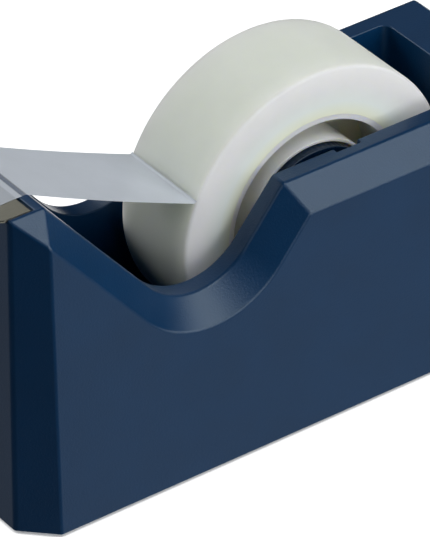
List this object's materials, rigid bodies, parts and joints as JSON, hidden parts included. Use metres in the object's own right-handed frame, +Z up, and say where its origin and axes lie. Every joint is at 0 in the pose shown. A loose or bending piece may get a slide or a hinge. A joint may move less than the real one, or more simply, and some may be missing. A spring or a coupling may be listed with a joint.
{
  "type": "tape dispenser",
  "caption": "Desk tape dispenser with a weighted bevelled housing, a U-shaped finger notch, a steel cutting blade on the taller front post and a lift-out roll of matte tape.",
  "frame": {"origin": "on the surface the dispenser stands on, below the middle of its length and width", "axes": "+X towards the rear, away from the blade; +Y to the right as seen from the rear; +Z up"},
  "size_m": [0.1172, 0.0454, 0.0638],
  "materials": {
    "navy_plastic": "satin moulded ABS",
    "black_plastic": "fine matte",
    "black_foam": "closed-cell foam rubber",
    "screw_steel": "zinc plated",
    "weight_steel": "raw",
    "blade_steel": "brushed stainless steel",
    "pin_steel": "drawn steel",
    "matte_tape": "matte translucent film",
    "core_plastic": "cream moulded plastic",
    "hub_plastic": "satin moulded ABS"
  },
  "bodies": {
    "base": {"housing": "navy_plastic", "base_plate": "black_plastic", "non_slip_pad": "black_foam", "base_screw_1": "screw_steel", "base_screw_2": "screw_steel", "base_screw_3": "screw_steel", "base_screw_4": "screw_steel", "front_weight": "weight_steel", "rear_weight": "weight_steel", "front_weight_foam": "black_foam", "rear_weight_foam": "black_foam", "blade": "blade_steel"},
    "axle": {"axle_pin": "pin_steel", "tape_strip": "matte_tape"},
    "wheel": {"tape_roll": "matte_tape", "tape_core": "core_plastic", "hub_left": "hub_plastic", "hub_right": "hub_plastic"}
  },
  "joints": [
    {"name": "roll_lift", "type": "slide", "parent": "base", "child": "axle", "axis": [0.2504, 0, 0.9681], "range_m": [0, 0.045]},
    {"name": "roll_spin", "type": "hinge", "parent": "axle", "child": "wheel", "pos_m": [0.01086, 0, 0.03477], "axis": [0, 1, 0], "continuous": true}
  ]
}
